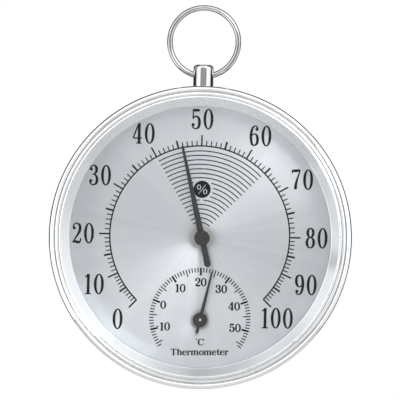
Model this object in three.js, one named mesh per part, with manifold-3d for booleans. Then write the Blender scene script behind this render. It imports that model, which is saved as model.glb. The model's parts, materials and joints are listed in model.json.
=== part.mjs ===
// A round wall hygrometer with a small thermometer dial, hung by a ring on a short post.
// Millimetres, +Z up, the dial faces -Y. The origin is where the hook carries the ring: its inner top.
// Inside the instrument every depth is a height h, measured forwards from the flat back of the case.
import * as THREE from 'three';
import { mergeVertices } from 'three/addons/utils/BufferGeometryUtils.js';
import Module from 'manifold-3d';

const wasm = await Module();
wasm.setup();

// ---- driving dimensions -------------------------------------------------------------------
const ROUND = 56;              // sides of the large rings
const SMALL_ROUND = 16;        // sides of pins, screws and bushes
const SPIRAL_STEPS = 16;       // per turn of a coil

const CASE_R = 48;             // outside of the case cup
const CASE_WALL = 0.8;
const FLOOR_T = 1;
const CASE_RIM_H = 19.85;      // front of the cup's flange
const CASE_FLANGE_R = 49.1;
const BEZEL_R = 50;            // the widest part of the object
const BEZEL_FRONT_H = 24;      // crest of the bezel, the frontmost line of the object
const LIP_R = 46;              // the bezel's inner edge

const DIAL_BACK_H = 12.6;
const DIAL_T = 0.5;
const DIAL_H = DIAL_BACK_H + DIAL_T;
const DIAL_R = 46.8;
const VISIBLE_DIAL_R = 43.2;   // inside of the reflector ring
const LENS_R = 47.1;
const LENS_BACK_H = 20.8;
const LENS_T = 1.5;
const SEAT = 0.05;             // play between faces that rest on each other

const POST_H = 10.1;           // depth of the hanging plane, 0.6 mm behind the centre of mass
const POST_R = 3.45;
const POST_TOP_Z = 57.1;       // above the case axis
const EYE_Z = 53.35;           // the cross hole's axis, above the case axis
const EYE_R = 1.4;
const RING_R = 11.35;          // mean radius of the hanging ring
const WIRE_R = 0.95;
const RING_DROP = 0.2;         // the wire's lowest point at its mean radius, below the cross hole's axis
const RING_SPLIT = 0.4;        // the closed joint in the wire, hidden in the cross hole

const HUB_X = 0.65;            // both arbors stand a little to the right of the case axis
const HUMID_Z = -0.33;         // humidity arbor, from the case axis
const THERMO_Z = -27.5;        // thermometer arbor, from the case axis
const CAP_H = DIAL_H + 2.25;    // back of the cap over the humidity pointer
const HUMID_ARBOR_H = CAP_H + 0.15;  // front of the humidity arbor, inside that cap
const HUMID_REST = -13.2;      // degrees clockwise from straight up, at 46 %
const THERMO_REST = 12.6;      // degrees clockwise from straight up, at 24 degrees C

const BUSH_R = 1.9;
const BUSH_HOLE_R = 2.0;
const PLATE_T = 0.8;           // thickness of the movement's plates

const rad = THREE.MathUtils.degToRad;

// ---- materials ----------------------------------------------------------------------------
const finish = (color, roughness, metalness, extra = {}) =>
  new THREE.MeshStandardMaterial({ color, roughness, metalness, ...extra });
const chrome = finish(0xdfe2e5, 0.08, 1);
const steel = finish(0xb4b7ba, 0.35, 1);
const dialSilver = finish(0xc4c8cc, 0.38, 1);
const brass = finish(0xb89650, 0.3, 1);
const bimetal = finish(0x9c948a, 0.4, 1);
const humidStrip = finish(0xa98f63, 0.6, 0.2);
const blackPaint = finish(0x161616, 0.5, 0);
const blackPlastic = finish(0x1d1d1e, 0.6, 0);
const rubber = finish(0x222222, 0.85, 0);
const glass = finish(0xf4f8fa, 0.03, 0, { transparent: true, opacity: 0.2 });

// ---- shaping helpers ----------------------------------------------------------------------
// A solid of revolution about the depth axis. The profile is a list of [radius, h] points, and
// one that doesn't start on the axis is a ring, so it closes on its first point.
function revolve(profile, sides = ROUND) {
  const ring = profile[0][0] > 0;
  const points = (ring ? [...profile, profile[0]] : profile).map(([r, h]) => new THREE.Vector2(r, h));
  return outward(new THREE.LatheGeometry(points, sides).rotateX(Math.PI));
}

// The same geometry with only its positions, its shared corners merged and its faces pointing out.
function outward(geometry) {
  geometry.deleteAttribute('normal');
  geometry.deleteAttribute('uv');
  const merged = mergeVertices(geometry, 1e-4);
  const p = merged.attributes.position;
  const index = merged.index.array;
  const [a, b, c] = [new THREE.Vector3(), new THREE.Vector3(), new THREE.Vector3()];
  const kept = [];
  let volume = 0;
  for (let i = 0; i < index.length; i += 3) {
    const [i0, i1, i2] = [index[i], index[i + 1], index[i + 2]];
    if (i0 === i1 || i1 === i2 || i2 === i0) continue;
    kept.push(i0, i1, i2);
    a.fromBufferAttribute(p, i0);
    b.fromBufferAttribute(p, i1);
    c.fromBufferAttribute(p, i2);
    volume += a.dot(b.cross(c));
  }
  merged.setIndex(volume < 0 ? kept.reverse() : kept);
  return merged;
}

const disc = (r, h0, h1, sides = SMALL_ROUND) => revolve([[0, h0], [r, h0], [r, h1], [0, h1]], sides);
const tube = (r0, r1, h0, h1, sides = SMALL_ROUND) =>
  revolve([[r0, h0], [r1, h0], [r1, h1], [r0, h1]], sides);

// A flat outline in X and Z, as thick as h0 to h1.
function sheet(shape, h0, h1, curveSegments = 12) {
  const settings = { depth: h1 - h0, bevelEnabled: false, curveSegments };
  return outward(new THREE.ExtrudeGeometry(shape, settings).rotateX(Math.PI / 2).translate(0, -h0, 0));
}

// A flat outline in X and h, as wide as `width` along Z, centred on z = 0.
function channel(shape, width) {
  const settings = { depth: width, bevelEnabled: false };
  const turned = new THREE.ExtrudeGeometry(shape, settings).scale(1, -1, 1).translate(0, 0, -width / 2);
  return outward(turned);
}

const boxAt = (x, h, z, w, d, t) => outward(new THREE.BoxGeometry(w, d, t).translate(x, -h, z));

function toSolid(geometry) {
  const mesh = { numProp: 3, vertProperties: Float32Array.from(geometry.attributes.position.array) };
  return new wasm.Manifold(new wasm.Mesh({ ...mesh, triVerts: Uint32Array.from(geometry.index.array) }));
}

function fromSolid(solid) {
  const { vertProperties, triVerts } = solid.getMesh();
  const geometry = new THREE.BufferGeometry();
  geometry.setAttribute('position', new THREE.BufferAttribute(vertProperties, 3));
  geometry.setIndex(new THREE.BufferAttribute(triVerts, 1));
  return geometry;
}

const cut = (body, ...tools) => fromSolid(tools.reduce((s, t) => s.subtract(toSolid(t)), toSolid(body)));
const join = (...parts) => fromSolid(parts.map(toSolid).reduce((s, t) => s.add(t)));

// A stadium outline of that length and width, lying along X.
function stadium(length, width) {
  const r = width / 2;
  const x = length / 2 - r;
  const shape = new THREE.Shape();
  shape.moveTo(-x, -r).lineTo(x, -r).absarc(x, 0, r, -Math.PI / 2, Math.PI / 2, false);
  shape.lineTo(-x, r).absarc(-x, 0, r, Math.PI / 2, Math.PI * 1.5, false);
  return shape;
}

// A flat strip wound as a spiral from radius r0 to r1. It ends on the +Z side.
function spiral(r0, r1, turns, thickness) {
  const steps = Math.round(turns * SPIRAL_STEPS);
  const at = (i, side) => {
    const angle = Math.PI / 2 - (turns - (i / steps) * turns) * Math.PI * 2;
    const r = r0 + ((r1 - r0) * i) / steps + (side * thickness) / 2;
    return new THREE.Vector2(r * Math.cos(angle), r * Math.sin(angle));
  };
  const inner = Array.from({ length: steps + 1 }, (_, i) => at(i, -1));
  const outer = Array.from({ length: steps + 1 }, (_, i) => at(steps - i, 1));
  return new THREE.Shape([...inner, ...outer]);
}

const instrument = new THREE.Group();
instrument.position.set(0, POST_H, -(EYE_Z - RING_DROP + 2 * RING_R - WIRE_R));
const humidMovement = new THREE.Group();
humidMovement.position.set(HUB_X, 0, HUMID_Z);
const thermoMovement = new THREE.Group();
thermoMovement.position.set(HUB_X, 0, THERMO_Z);
instrument.add(humidMovement, thermoMovement);

function piece(name, geometry, material, parent = instrument) {
  const mesh = new THREE.Mesh(geometry, material);
  mesh.name = name;
  parent.add(mesh);
  return mesh;
}

// ---- case ---------------------------------------------------------------------------------
function caseCup() {
  const inner = CASE_R - CASE_WALL;
  const cup = revolve([
    [0, 0], [46.6, 0], [47.5, 0.3], [CASE_R, 1.3],
    [CASE_R, CASE_RIM_H - CASE_WALL], [CASE_FLANGE_R, CASE_RIM_H - CASE_WALL],
    [CASE_FLANGE_R, CASE_RIM_H], [inner, CASE_RIM_H], [inner, 1.8], [46.5, FLOOR_T], [0, FLOOR_T],
  ]);
  const slotCount = 12;
  const slots = Array.from({ length: slotCount }, (_, i) => {
    const slot = sheet(stadium(10, 2), -1, 2, 4).translate(31, 0, 0);
    return slot.rotateY((i * Math.PI * 2) / slotCount + Math.PI / slotCount);
  });
  const driverHole = disc(3, -1, 2).translate(HUB_X, 0, HUMID_Z);
  const screwHole = disc(1.65, -4, 4).rotateX(Math.PI / 2).translate(0, -POST_H, CASE_R);
  return cut(cup, ...slots, driverHole, screwHole);
}

function bezel() {
  const skirt = 49.3;
  const under = LENS_BACK_H + LENS_T + 0.35;
  return revolve([
    [48.2, 18.4], [49.6, 18.4], [BEZEL_R, 18.9], [BEZEL_R, 22.4], [49.85, 23.05], [49.45, 23.7],
    [48.9, BEZEL_FRONT_H], [48.45, 23.75], [48.1, 23.2], [47.7, 23.5], [47.3, 23.58], [46.75, 23.1],
    [46.3, 23.22], [LIP_R, under], [skirt, under], [skirt, 19], [48.2, 19],
  ]);
}

function lens() {
  const front = LENS_BACK_H + LENS_T;
  const chamfer = 0.3;
  return revolve([
    [0, LENS_BACK_H], [LENS_R, LENS_BACK_H], [LENS_R, front - chamfer], [LENS_R - chamfer, front], [0, front],
  ]);
}

function lensGasket() {
  const front = LENS_BACK_H + LENS_T;
  return revolve([
    [LENS_R + 0.1, CASE_RIM_H + SEAT], [48.9, CASE_RIM_H + SEAT], [48.9, front + 0.3],
    [46.5, front + 0.3], [46.5, front + SEAT], [LENS_R + 0.1, front + SEAT],
  ]);
}

function reflectorRing() {
  const foot = DIAL_H + SEAT;
  const top = LENS_BACK_H - SEAT;
  const wall = VISIBLE_DIAL_R + 0.7;
  return revolve([
    [VISIBLE_DIAL_R, foot], [wall, foot], [wall, top - 2.55], [46.4, top - 0.7], [47, top - 0.7],
    [47, top], [46.2, top], [VISIBLE_DIAL_R + 0.2, top - 2], [VISIBLE_DIAL_R, top - 2.25],
  ]);
}

function dialPlate() {
  const plate = disc(DIAL_R, DIAL_BACK_H, DIAL_H, ROUND);
  const hole = (z) => disc(BUSH_HOLE_R, DIAL_BACK_H - 1, DIAL_H + 1).translate(HUB_X, 0, z);
  return cut(plate, hole(HUMID_Z), hole(THERMO_Z));
}

function dialCarrier() {
  const top = DIAL_BACK_H - SEAT;
  const floor = FLOOR_T + 0.8;
  const ring = revolve([
    [45.9, floor], [47, floor], [47, top], [43.5, top], [43.5, top - 1], [45.9, top - 1],
  ]);
  const notch = boxAt(0, 9, 46, 9, 12, 8);
  return cut(ring, notch);
}

// ---- hanger -------------------------------------------------------------------------------
function hangerPost() {
  const base = CASE_R + SEAT;
  const chamfer = 0.45;
  const up = (g) => g.rotateX(-Math.PI / 2).translate(0, -POST_H, 0);
  const body = up(revolve([
    [0, base - 0.3], [POST_R, base - 0.3], [POST_R, POST_TOP_Z - chamfer], [POST_R - chamfer, POST_TOP_Z - 0.12],
    [POST_R - 1.4, POST_TOP_Z], [0, POST_TOP_Z],
  ], 32));
  const screwBore = up(disc(1.6, base - 1, EYE_Z - EYE_R - 0.7));
  const saddle = disc(base, -1, 30, 128);
  const eye = disc(EYE_R, -6, 6, 24).rotateZ(Math.PI / 2).translate(0, -POST_H, EYE_Z);
  return cut(body, screwBore, saddle, eye);
}

function postScrew() {
  const head = CASE_R - CASE_WALL - SEAT;
  const up = (g) => g.rotateX(-Math.PI / 2).translate(0, -POST_H, 0);
  const body = up(revolve([
    [0, head - 1.7], [1.8, head - 1.7], [2.35, head - 1.2], [2.35, head - 0.1], [1.4, head - 0.1],
    [1.4, EYE_Z - EYE_R - 1], [0, EYE_Z - EYE_R - 1],
  ], SMALL_ROUND));
  return cut(body, boxAt(0, POST_H, head - 1.6, 0.7, 6, 1.2));
}

class RingLine extends THREE.Curve {
  getPoint(t, target = new THREE.Vector3()) {
    const gap = RING_SPLIT / RING_R;
    const angle = -Math.PI / 2 + gap / 2 + t * (Math.PI * 2 - gap);
    return target.set(RING_R * Math.cos(angle), 0, RING_R * Math.sin(angle));
  }
}

function hangingRing() {
  const section = new THREE.Shape().absarc(0, 0, WIRE_R, 0, Math.PI * 2, false);
  const settings = { steps: 52, curveSegments: 6, bevelEnabled: false, extrudePath: new RingLine() };
  const wire = outward(new THREE.ExtrudeGeometry(section, settings));
  return wire.translate(0, -POST_H, EYE_Z - RING_DROP + RING_R);
}

// ---- pieces that both movements share -----------------------------------------------------
const bush = (bore, flangeR) => revolve([
  [bore, DIAL_BACK_H - 1.8], [BUSH_R, DIAL_BACK_H - 1.8], [BUSH_R, DIAL_H + SEAT],
  [flangeR, DIAL_H + SEAT], [flangeR, DIAL_H + 0.5], [bore, DIAL_H + 0.5],
], SMALL_ROUND);

function bushNut() {
  const back = DIAL_BACK_H - SEAT - PLATE_T - SEAT - 1.2;
  return cut(disc(3.2, back, back + 1.2, 6), disc(BUSH_HOLE_R, back - 1, back + 3));
}

// ---- humidity movement, about its own arbor -----------------------------------------------
const FRONT_PLATE_BACK = DIAL_BACK_H - SEAT - PLATE_T;
const BAR_H = 4.7;             // back face of the back bar
const PILLAR_X = 12;
const COIL_H = [7, 10.3];      // both coils' back and front edges

function humidFrontPlate() {
  const plate = sheet(stadium(29, 8), FRONT_PLATE_BACK, FRONT_PLATE_BACK + PLATE_T, 8);
  return cut(plate, disc(BUSH_HOLE_R, 5, 20));
}

function humidPillar(side) {
  const start = BAR_H + PLATE_T + SEAT;
  const pillar = disc(1.8, start, FRONT_PLATE_BACK - SEAT);
  return cut(pillar, disc(1.05, start - 1, start + 3)).translate(side * PILLAR_X, 0, 0);
}

function humidBackBar() {
  const bar = sheet(stadium(29, 7.5), BAR_H, BAR_H + PLATE_T, 8);
  const screwHole = (side) => disc(1.05, 3, 8).translate(side * PILLAR_X, 0, 0);
  return cut(bar, disc(2.55, 3, 8, 24), screwHole(1), screwHole(-1));
}

function barScrew(side) {
  const head = BAR_H - SEAT;
  const screw = revolve([
    [0, head - 1], [1.5, head - 1], [1.7, head - 0.7], [1.7, head], [0.9, head], [0.9, head + 3.4],
    [0, head + 3.4],
  ], SMALL_ROUND);
  return cut(screw, boxAt(0, head - 1, 0, 5, 1, 0.45)).translate(side * PILLAR_X, 0, 0);
}

// The hub turns in the back bar, and its arm carries the coil's outer end on a short pin.
function calibrationArm() {
  const armBack = BAR_H + PLATE_T + SEAT;
  const hub = disc(2.35, 1.7, armBack + 0.4, 24);
  const arm = new THREE.Shape();
  arm.absarc(0, 0, 3.2, Math.PI, Math.PI * 2, false).lineTo(1.1, 9.2);
  arm.absarc(0, 9.2, 1.1, 0, Math.PI, false).closePath();
  const blade = sheet(arm, armBack, armBack + 0.7, 8);
  const pin = disc(0.5, armBack + 0.3, COIL_H[1] + 0.3, 12).translate(0, 0, 9.2);
  const driverSlot = boxAt(0, 1.7, 0, 8, 1.6, 0.8);
  return cut(join(hub, blade, pin), disc(0.95, 3.8, 12, 16), driverSlot);
}

const humidCoil = () => sheet(spiral(2.15, 8.4, 4, 0.22), ...COIL_H);
const collet = (bore, r) => tube(bore, r, ...COIL_H);
const humidArbor = () => disc(0.8, 4, HUMID_ARBOR_H, 16);

// A stamped blade: a disc with a long tapered blade, and a round-ended tail straight opposite.
function bladeShape({ hubR, length, rootW, tipW, tail, tailRootW, tailW, holeR }) {
  const shape = new THREE.Shape();
  const up = (w) => Math.asin(w / 2 / hubR);
  shape.moveTo(tipW / 2, length - tipW / 2);
  shape.absarc(0, length - tipW / 2, tipW / 2, 0, Math.PI, false);
  shape.absarc(0, 0, hubR, Math.PI / 2 + up(rootW), Math.PI * 1.5 - up(tailRootW), false);
  shape.absarc(0, -tail + tailW / 2, tailW / 2, Math.PI, Math.PI * 2, false);
  shape.absarc(0, 0, hubR, Math.PI * 1.5 + up(tailRootW), Math.PI * 2.5 - up(rootW), false);
  shape.closePath();
  shape.holes.push(new THREE.Path().absarc(0, 0, holeR, 0, Math.PI * 2, true));
  return shape;
}

function humidPointer() {
  const back = DIAL_H + 1.8;
  const shape = bladeShape({
    hubR: 2.45, length: 31.3, rootW: 2.1, tipW: 0.75, tail: 9.9, tailRootW: 1.8, tailW: 2.15, holeR: 1.4,
  });
  return sheet(shape, back, back + 0.4, 8);
}

function humidBoss() {
  const back = DIAL_H + 1.2;
  const body = revolve([
    [0, back], [1.3, back], [1.3, CAP_H], [2.6, CAP_H], [2.6, CAP_H + 0.35], [2.35, CAP_H + 0.6],
    [0, CAP_H + 0.6],
  ], 32);
  return cut(body, disc(0.9, back - 1, HUMID_ARBOR_H + SEAT, 16));
}

// ---- thermometer movement, about its own arbor --------------------------------------------
const LEAF_H = 5.2;            // back face of the bracket's back leaf
const ANCHOR_X = -7.6;
const BRACKET_X = 10;

// One brass strip bent into a C: a front leaf behind the dial, a side leg and a back leaf.
function thermoBracket() {
  const front = FRONT_PLATE_BACK + PLATE_T;
  const strip = new THREE.Shape();
  strip.moveTo(-4, front).lineTo(BRACKET_X, front).lineTo(BRACKET_X, LEAF_H).lineTo(-9, LEAF_H);
  strip.lineTo(-9, LEAF_H + PLATE_T).lineTo(BRACKET_X - PLATE_T, LEAF_H + PLATE_T);
  strip.lineTo(BRACKET_X - PLATE_T, front - PLATE_T).lineTo(-4, front - PLATE_T).closePath();
  const bracket = channel(strip, 7);
  const anchorHole = disc(0.75, 4, 8, 12).translate(ANCHOR_X, 0, 0);
  return cut(bracket, disc(BUSH_HOLE_R, 9, 20), disc(0.85, 4, 8, 16), anchorHole);
}

const thermoAnchor = () => disc(0.6, LEAF_H - 0.4, COIL_H[1] + 0.2, 12).translate(ANCHOR_X, 0, 0);
const bimetalCoil = () => sheet(spiral(1.75, 6.7, 4.75, 0.22), ...COIL_H).rotateY(-Math.PI / 2);

function thermoArbor() {
  const shoulder = DIAL_H + 1.35;
  return revolve([
    [0, LEAF_H - 0.4], [0.7, LEAF_H - 0.4], [0.7, shoulder], [0.45, shoulder], [0.45, shoulder + 0.75],
    [0, shoulder + 0.75],
  ], 16);
}

function thermoPointer() {
  const back = DIAL_H + 1.4;
  const shape = bladeShape({
    hubR: 2.45, length: 16.6, rootW: 1.05, tipW: 0.5, tail: 4.6, tailRootW: 0.85, tailW: 0.95, holeR: 0.55,
  });
  return sheet(shape, back, back + 0.3, 8);
}

// ---- the assembly -------------------------------------------------------------------------
piece('case_cup', caseCup(), steel);
piece('dial_carrier', dialCarrier(), blackPlastic);
piece('dial_plate', dialPlate(), dialSilver);
piece('reflector_ring', reflectorRing(), chrome);
piece('lens', lens(), glass);
piece('lens_gasket', lensGasket(), rubber);
piece('bezel', bezel(), chrome);
piece('hanger_post', hangerPost(), chrome);
piece('post_screw', postScrew(), steel);
piece('hanging_ring', hangingRing(), chrome);

piece('humidity_front_plate', humidFrontPlate(), brass, humidMovement);
piece('humidity_pillar_left', humidPillar(-1), brass, humidMovement);
piece('humidity_pillar_right', humidPillar(1), brass, humidMovement);
piece('humidity_back_bar', humidBackBar(), brass, humidMovement);
piece('back_bar_screw_left', barScrew(-1), steel, humidMovement);
piece('back_bar_screw_right', barScrew(1), steel, humidMovement);
piece('humidity_bush', bush(0.95, 2.6), brass, humidMovement);
piece('humidity_bush_nut', bushNut(), brass, humidMovement);
piece('calibration_arm', calibrationArm(), brass, humidMovement);
piece('humidity_coil', humidCoil(), humidStrip, humidMovement);
piece('humidity_collet', collet(0.9, 1.75), brass, humidMovement);
piece('humidity_arbor', humidArbor(), steel, humidMovement);
piece('humidity_pointer_boss', humidBoss(), blackPaint, humidMovement);
const humidBlade = piece('humidity_pointer', humidPointer(), blackPaint, humidMovement);
humidBlade.rotation.y = rad(HUMID_REST);

piece('thermometer_bracket', thermoBracket(), brass, thermoMovement);
piece('thermometer_bush', bush(0.85, 2.3), brass, thermoMovement);
piece('thermometer_bush_nut', bushNut(), brass, thermoMovement);
piece('bimetal_anchor', thermoAnchor(), brass, thermoMovement);
piece('bimetal_coil', bimetalCoil(), bimetal, thermoMovement);
piece('thermometer_collet', collet(0.8, 1.35), brass, thermoMovement);
piece('thermometer_arbor', thermoArbor(), steel, thermoMovement);
const thermoBlade = piece('thermometer_pointer', thermoPointer(), blackPaint, thermoMovement);
thermoBlade.rotation.y = rad(THERMO_REST);

const part = new THREE.Group();
part.add(instrument);
export default part;
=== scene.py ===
# %% [markdown]
# A round wall hygrometer. A coil of treated strip behind the dial winds and unwinds with the
# dampness of the air and turns the long hand. A smaller bimetal coil turns the thermometer hand
# under it. A polished bezel holds a flat glass, and the case hangs by a wire ring.
# The engineering model is loaded first. It fixes every size and every joint, and the pieces below
# are built round it in the same frame: metres, +Z up, the dial facing -Y.

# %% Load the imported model
import json
import math

import bmesh
import bpy
from mathutils import Matrix, Vector
from mathutils.geometry import delaunay_2d_cdt


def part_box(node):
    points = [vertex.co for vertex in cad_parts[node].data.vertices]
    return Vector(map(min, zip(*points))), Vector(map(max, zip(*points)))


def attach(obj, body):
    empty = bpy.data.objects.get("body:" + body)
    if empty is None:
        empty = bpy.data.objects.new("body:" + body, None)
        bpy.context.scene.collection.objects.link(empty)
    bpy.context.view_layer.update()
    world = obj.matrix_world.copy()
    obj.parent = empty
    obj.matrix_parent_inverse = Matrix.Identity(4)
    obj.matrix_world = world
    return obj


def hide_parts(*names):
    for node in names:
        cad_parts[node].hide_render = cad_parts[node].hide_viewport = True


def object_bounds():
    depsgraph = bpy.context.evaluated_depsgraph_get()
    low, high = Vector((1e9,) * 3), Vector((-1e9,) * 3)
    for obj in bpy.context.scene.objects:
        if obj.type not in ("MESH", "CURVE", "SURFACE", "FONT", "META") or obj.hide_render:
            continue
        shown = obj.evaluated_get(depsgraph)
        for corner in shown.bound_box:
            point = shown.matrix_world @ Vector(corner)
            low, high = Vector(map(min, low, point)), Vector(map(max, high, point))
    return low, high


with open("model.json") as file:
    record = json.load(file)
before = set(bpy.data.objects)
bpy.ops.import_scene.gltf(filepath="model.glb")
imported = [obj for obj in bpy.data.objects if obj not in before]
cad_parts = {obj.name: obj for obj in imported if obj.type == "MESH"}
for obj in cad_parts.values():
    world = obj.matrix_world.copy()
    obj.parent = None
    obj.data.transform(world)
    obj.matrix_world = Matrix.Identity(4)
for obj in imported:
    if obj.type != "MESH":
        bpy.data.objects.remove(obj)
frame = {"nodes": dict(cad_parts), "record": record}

cad_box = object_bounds()
scene = bpy.context.scene

# %% [markdown]
# A dial is drawn flat, so most pieces are made in "dial space": x to the right and y up as the dial
# is read, and h forward from the flat back of the case, all in millimetres. One matrix turns dial
# space into the room. Its Z axis is the dial's own normal, and that matters later, because brushed
# metal takes the direction of its scratches from the object's own Z axis.

# %% Dial space
MM = 0.001
bezel_low, bezel_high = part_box("bezel")
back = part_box("case_cup")[1].y
CASE_CENTRE = Vector(((bezel_low.x + bezel_high.x) / 2, back, (bezel_low.z + bezel_high.z) / 2))
DIAL_TURN = Matrix(((1, 0, 0, 0), (0, 0, -1, 0), (0, 1, 0, 0), (0, 0, 0, 1)))
DIAL_SPACE = Matrix.Translation(CASE_CENTRE) @ DIAL_TURN


def middle(node):
    """The middle of a node's box, in millimetres from the case axis, as the dial is read."""
    low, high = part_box(node)
    centre = ((low + high) / 2 - CASE_CENTRE) / MM
    return centre.x, centre.z


def dial_space(x=0.0, y=0.0, lean=0.0):
    """Dial space moved to x, y and leaned clockwise by so many degrees."""
    turn = Matrix.Rotation(math.radians(-lean), 4, "Z")
    return DIAL_SPACE @ Matrix.Translation(Vector((x, y, 0)) * MM) @ turn


HUMIDITY_HUB = middle("humidity_arbor")
THERMOMETER_HUB = middle("thermometer_arbor")
print("hubs at", HUMIDITY_HUB, THERMOMETER_HUB)

# %% [markdown]
# Nearly everything on an instrument like this is turned, spun or stamped. Turned and spun parts are
# a profile swept round an axis, so they come from one function. Each corner of a profile may carry
# a third number, the radius that a polishing wheel leaves on it. Real edges are never sharp, and
# these small rounds are what catch the light as thin bright lines.

# %% Turned parts
SHARP_EDGE = 38.0
ROUND_STEPS = 5
MOST_OF_SIDE = 0.42
LEAD = 0.15


def add_piece(name, points, faces, place):
    """Links a mesh given in millimetres, smooth but for its sharp edges."""
    mesh = bpy.data.meshes.new(name)
    mesh.from_pydata([Vector(p) * MM for p in points], [], faces)
    work = bmesh.new()
    work.from_mesh(mesh)
    bmesh.ops.recalc_face_normals(work, faces=work.faces)
    work.to_mesh(mesh)
    work.free()
    mesh.shade_smooth()
    mesh.set_sharp_from_angle(angle=math.radians(SHARP_EDGE))
    piece = bpy.data.objects.new(name, mesh)
    scene.collection.objects.link(piece)
    piece.matrix_world = place
    return piece


def eased(profile):
    """Rounds each corner (r, h, radius) of a profile, and leaves corners (r, h) as they are."""
    line = []
    for i, corner in enumerate(profile):
        here = Vector(corner[:2])
        if len(corner) == 2:
            line.append(here)
            continue
        before = Vector(profile[i - 1][:2]) - here
        after = Vector(profile[(i + 1) % len(profile)][:2]) - here
        reach = min(corner[2], before.length * MOST_OF_SIDE, after.length * MOST_OF_SIDE)
        start = here + before.normalized() * reach
        end = here + after.normalized() * reach
        line.append(start + before.normalized() * reach * LEAD)
        for k in range(ROUND_STEPS + 1):
            t = k / ROUND_STEPS
            line.append(start * (1 - t) ** 2 + here * 2 * t * (1 - t) + end * t * t)
        line.append(end + after.normalized() * reach * LEAD)
    return line


def turned(name, profile, place, steps=256):
    """Sweeps a closed profile of (r, h) round the Z axis. It may start and end on the axis."""
    line = eased(profile)
    solid = line[0].x < 1e-6 and line[-1].x < 1e-6
    poles = [line[0], line[-1]] if solid else []
    rim = line[1:-1] if solid else line
    points = []
    for k in range(steps):
        angle = 2 * math.pi * k / steps
        points += [(p.x * math.cos(angle), p.x * math.sin(angle), p.y) for p in rim]
    faces = []
    count = len(rim)
    for k in range(steps):
        a = k * count
        b = (k + 1) % steps * count
        for i in range(count - 1 if solid else count):
            j = (i + 1) % count
            faces.append((a + i, b + i, b + j, a + j))
        if solid:
            faces.append((a, steps * count, b))
            faces.append((a + count - 1, b + count - 1, steps * count + 1))
    points += [(0, 0, p.y) for p in poles]
    return add_piece(name, points, faces, place)


def cut_away(piece, *cutters):
    """Cuts other solids out of a piece for good, and removes them."""
    for cutter in cutters:
        tool = piece.modifiers.new("cut", "BOOLEAN")
        tool.operation = "DIFFERENCE"
        tool.solver = "EXACT"
        tool.object = cutter
    seen = piece.evaluated_get(bpy.context.evaluated_depsgraph_get())
    mesh = bpy.data.meshes.new_from_object(seen)
    piece.modifiers.clear()
    piece.data = mesh
    mesh.shade_smooth()
    mesh.set_sharp_from_angle(angle=math.radians(SHARP_EDGE))
    for cutter in cutters:
        bpy.data.objects.remove(cutter)
    return piece


def fit(piece, body, slot, finish, *stands_for):
    """Gives a piece its finish, its place in the mechanism and the nodes that it stands for."""
    piece.data.materials.clear()
    piece.data.materials.append(finish)
    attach(piece, body)
    if stands_for:
        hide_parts(*stands_for)
    print(piece.name, "-", len(piece.data.polygons), "faces, rides on", body)
    return piece


# %% [markdown]
# Stamped parts are flat outlines with a thickness. The outline is filled with triangles by a
# constrained Delaunay fill, which keeps holes open, and its front edge is eased as a stamping is.
# Printing is made in the same way from many overlapping strokes: the fill is told about all of
# them at once, and only the triangles that lie in some stroke are kept, so crossing strokes become
# one clean film of ink with a real, very small thickness.

# %% Stamped parts and printing
CLEAN = 1e-5


def anticlockwise(loop):
    """The loop, turned round if it runs clockwise."""
    pairs = zip(loop, loop[1:] + loop[:1])
    area = sum(a[0] * b[1] - b[0] * a[1] for a, b in pairs)
    return list(loop) if area > 0 else list(reversed(loop))


def filled(loops, holes=()):
    """Points and triangles of everything inside some loop and inside no hole."""
    flat = []
    faces = []
    for loop in list(loops) + list(holes):
        loop = anticlockwise(loop)
        faces.append(list(range(len(flat), len(flat) + len(loop))))
        flat += [Vector(p) for p in loop]
    out = delaunay_2d_cdt(flat, [], faces, 0, CLEAN)
    inside = len(loops)
    kept = []
    for triangle, sources in zip(out[2], out[5]):
        if sources and min(sources) < inside and max(sources) < inside:
            kept.append(tuple(triangle))
    return out[0], kept


def printed(name, loops, low, high, place, holes=()):
    """A film of ink from h low to h high over the union of the loops."""
    flat, triangles = filled(loops, holes)
    count = len(flat)
    points = [(p.x, p.y, low) for p in flat] + [(p.x, p.y, high) for p in flat]
    faces = [tuple(reversed(t)) for t in triangles]
    faces += [tuple(i + count for i in t) for t in triangles]
    edges = {(t[i], t[(i + 1) % 3]) for t in triangles for i in range(3)}
    faces += [(a, b, b + count, a + count) for a, b in edges if (b, a) not in edges]
    piece = add_piece(name, points, sorted(faces), place)
    work = bmesh.new()
    work.from_mesh(piece.data)
    loose = [v for v in work.verts if not v.link_faces]
    bmesh.ops.delete(work, geom=loose, context="VERTS")
    work.to_mesh(piece.data)
    work.free()
    return piece


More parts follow.
